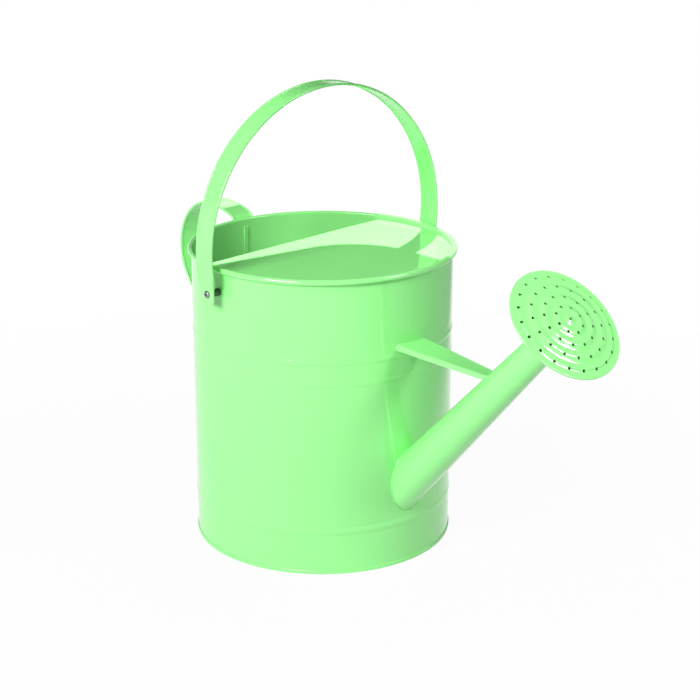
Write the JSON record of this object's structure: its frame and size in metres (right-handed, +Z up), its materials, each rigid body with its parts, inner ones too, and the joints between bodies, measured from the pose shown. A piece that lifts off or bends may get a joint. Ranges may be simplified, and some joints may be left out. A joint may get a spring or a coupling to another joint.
{
  "type": "watering can",
  "caption": "Painted sheet-steel watering can with a swinging bail, a rear loop handle, a half-covered mouth and a long straight spout with a push-on rose.",
  "frame": {"origin": "centre of the base, on the body's axis, in the plane of the floor that the can stands on", "axes": "+X towards the spout, +Z up, +Y completes a right-handed frame, so the bail's pivots lie along Y"},
  "size_m": [0.5058, 0.2498, 0.3894],
  "materials": {
    "green_paint": "glossy light green enamel on sheet steel",
    "bare_steel": "plain bright steel",
    "bare_aluminium": "plain, lightly dulled"
  },
  "bodies": {
    "can": {"body_shell": "green_paint", "base_pan": "green_paint", "top_cover": "green_paint", "bail_spacer_left": "bare_steel", "bail_spacer_right": "bare_steel", "bail_rivet_left": "bare_aluminium", "bail_rivet_right": "bare_aluminium", "bail_rivet_pin_left": "bare_steel", "bail_rivet_pin_right": "bare_steel", "rear_handle": "green_paint", "spout_tube": "green_paint", "spout_strut": "green_paint"},
    "bail": {"bail_handle": "green_paint"},
    "rose": {"rose_face": "green_paint", "rose_back": "green_paint", "rose_sleeve": "green_paint"}
  },
  "joints": [
    {"name": "bail_pivot", "type": "hinge", "parent": "can", "child": "bail", "pos_m": [0, 0, 0.2325], "axis": [0, 1, 0], "range_deg": [-76, 100]},
    {"name": "rose_slide", "type": "slide", "parent": "can", "child": "rose", "axis": [0.6845, 0, 0.729], "range_m": [0, 0.04]}
  ]
}
